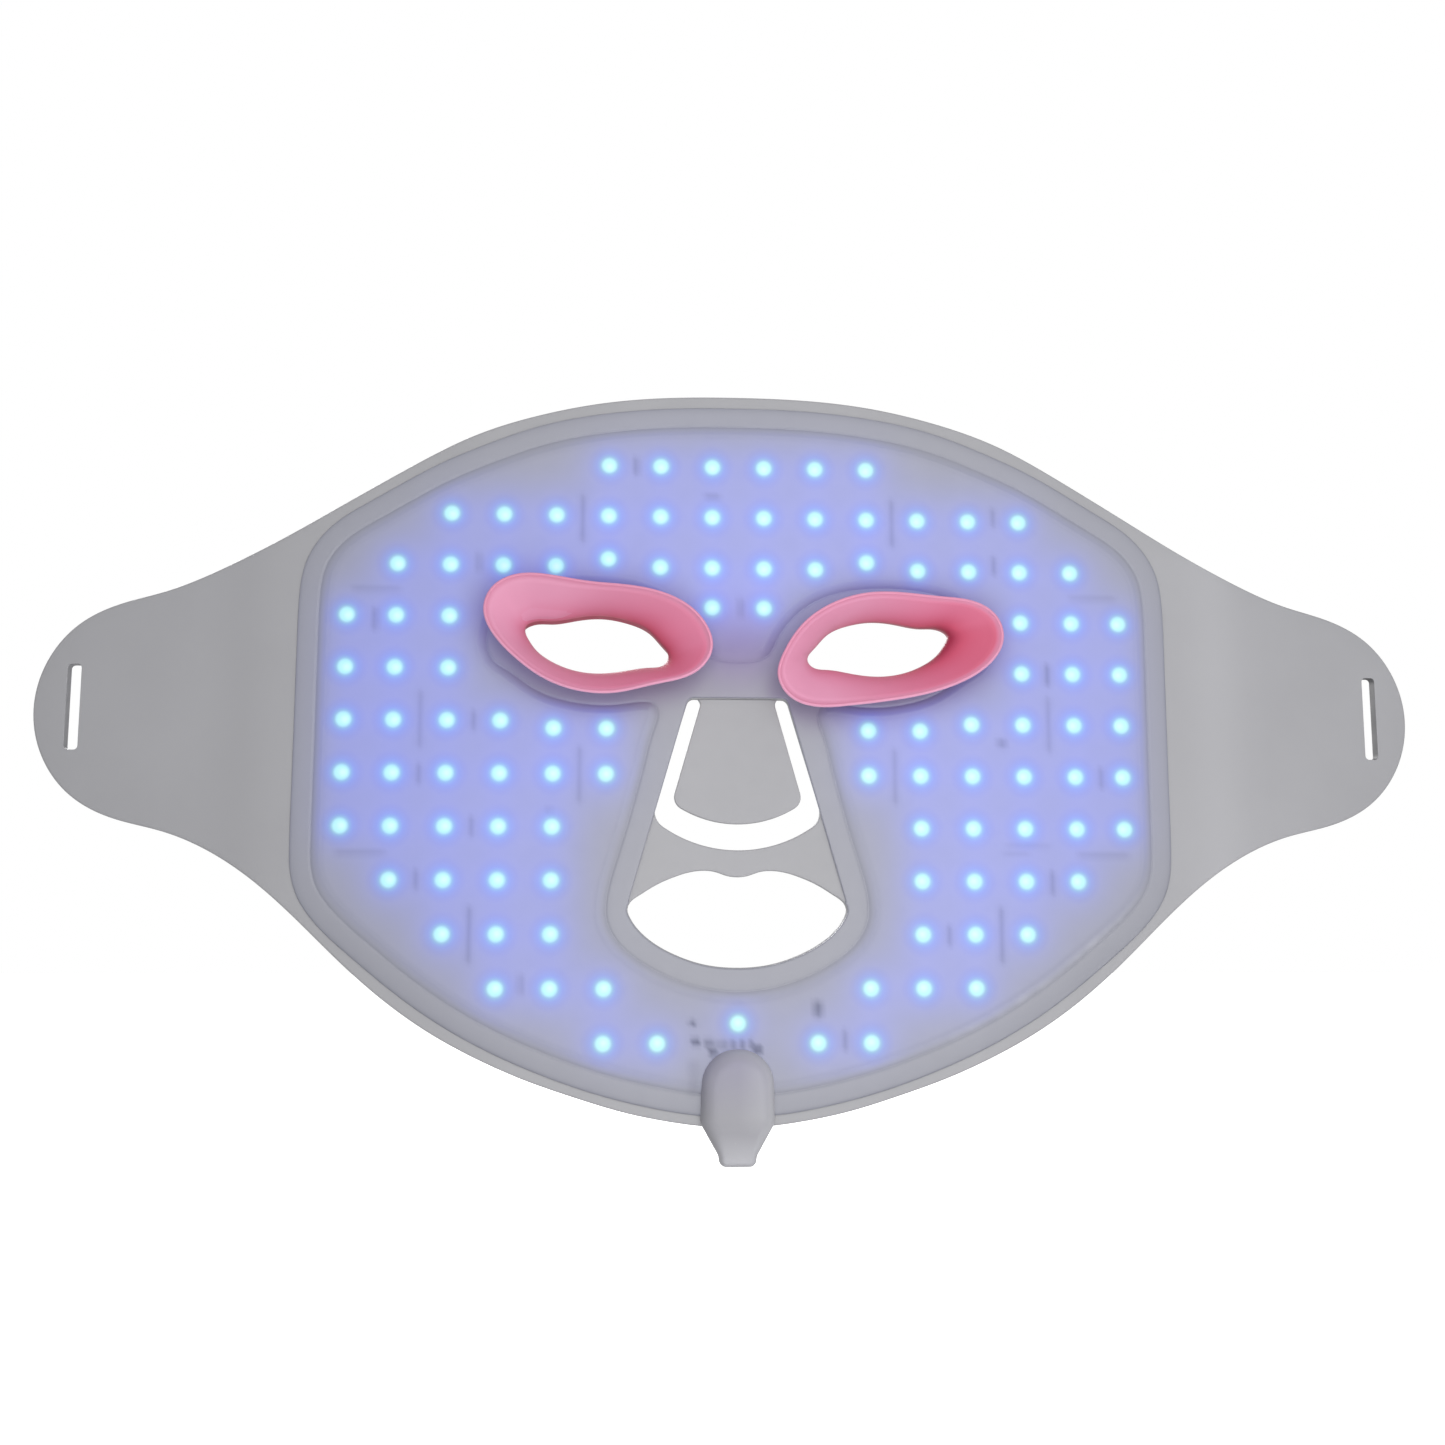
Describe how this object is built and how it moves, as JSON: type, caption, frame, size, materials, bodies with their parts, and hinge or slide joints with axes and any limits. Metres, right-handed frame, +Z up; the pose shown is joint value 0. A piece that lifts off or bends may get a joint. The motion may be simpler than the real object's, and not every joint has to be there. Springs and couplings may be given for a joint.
{
  "type": "LED face mask",
  "caption": "Flat flexible light-therapy face mask: silicone sheet with eye, nose and mouth openings, lit LED panel, soft eye pads, side wings with strap slots and a chin socket.",
  "frame": {"origin": "on the skin-side face of the silicone sheet, midway between the eye openings", "axes": "+X to the right as the skin side is looked at, +Z up to the forehead, +Y from the skin side through to the outer face"},
  "size_m": [0.3686, 0.0154, 0.2058],
  "materials": {
    "grey_silicone": "matt silicone, neutral grey",
    "clear_silicone": "translucent silicone, satin",
    "milky_silicone": "milky translucent silicone",
    "pink_silicone": "soft silicone, satin",
    "seal_silicone": "cured silicone adhesive",
    "white_film": "white reflector film",
    "circuit_film": "white coverlay on a flexible circuit",
    "board_laminate": "glass-epoxy laminate",
    "led_body": "moulded white package",
    "led_light": "lit blue window",
    "resistor_ceramic": "dark glaze",
    "tin_solder": "tinned",
    "black_epoxy": "moulded epoxy",
    "capacitor_ceramic": "fired ceramic",
    "wire_insulation": "smooth insulation",
    "socket_plastic": "moulded, matt",
    "nickel_plate": "nickel plate",
    "gold_plate": "gold flash"
  },
  "bodies": {
    "mask": {"back_shell": "grey_silicone", "inner_cover": "clear_silicone", "outer_seal": "seal_silicone", "inner_seal": "seal_silicone", "reflector_film": "white_film", "flex_circuit": "circuit_film", "chin_stiffener": "board_laminate", "forehead_leds": "led_body", "left_cheek_leds": "led_body", "right_cheek_leds": "led_body", "chin_leds": "led_body", "forehead_led_windows": "led_light", "left_cheek_led_windows": "led_light", "right_cheek_led_windows": "led_light", "chin_led_windows": "led_light", "series_resistors": "resistor_ceramic", "resistor_end_caps": "tin_solder", "protection_diode": "black_epoxy", "filter_capacitors": "capacitor_ceramic", "thermistor": "black_epoxy", "solder_pads": "tin_solder", "lead_wires": "wire_insulation", "inlet_boot": "milky_silicone", "socket_housing": "socket_plastic", "socket_sleeve": "nickel_plate", "socket_contacts": "gold_plate"},
    "left_wing": {"left_wing": "grey_silicone"},
    "right_wing": {"right_wing": "grey_silicone"},
    "nose_flap": {"nose_flap": "grey_silicone"},
    "left_eye_pad": {"left_eye_pad": "pink_silicone"},
    "right_eye_pad": {"right_eye_pad": "pink_silicone"}
  },
  "joints": [
    {"name": "left_wing_fold", "type": "hinge", "parent": "mask", "child": "left_wing", "pos_m": [-0.119, 0.00125, -0.02], "axis": [0, 0, 1], "range_deg": [-20, 80], "stiffness_Nm_per_rad": 0.02},
    {"name": "right_wing_fold", "type": "hinge", "parent": "mask", "child": "right_wing", "pos_m": [0.119, 0.00125, -0.02], "axis": [0, 0, -1], "range_deg": [-20, 80], "stiffness_Nm_per_rad": 0.02},
    {"name": "nose_flap_fold", "type": "hinge", "parent": "mask", "child": "nose_flap", "pos_m": [0, 0.00125, -0.0159], "axis": [1, 0, 0], "range_deg": [-5, 40], "stiffness_Nm_per_rad": 0.004},
    {"name": "left_eye_pad_pull", "type": "slide", "parent": "mask", "child": "left_eye_pad", "axis": [0, -1, 0], "range_m": [0, 0.012]},
    {"name": "right_eye_pad_pull", "type": "slide", "parent": "mask", "child": "right_eye_pad", "axis": [0, -1, 0], "range_m": [0, 0.012]}
  ]
}
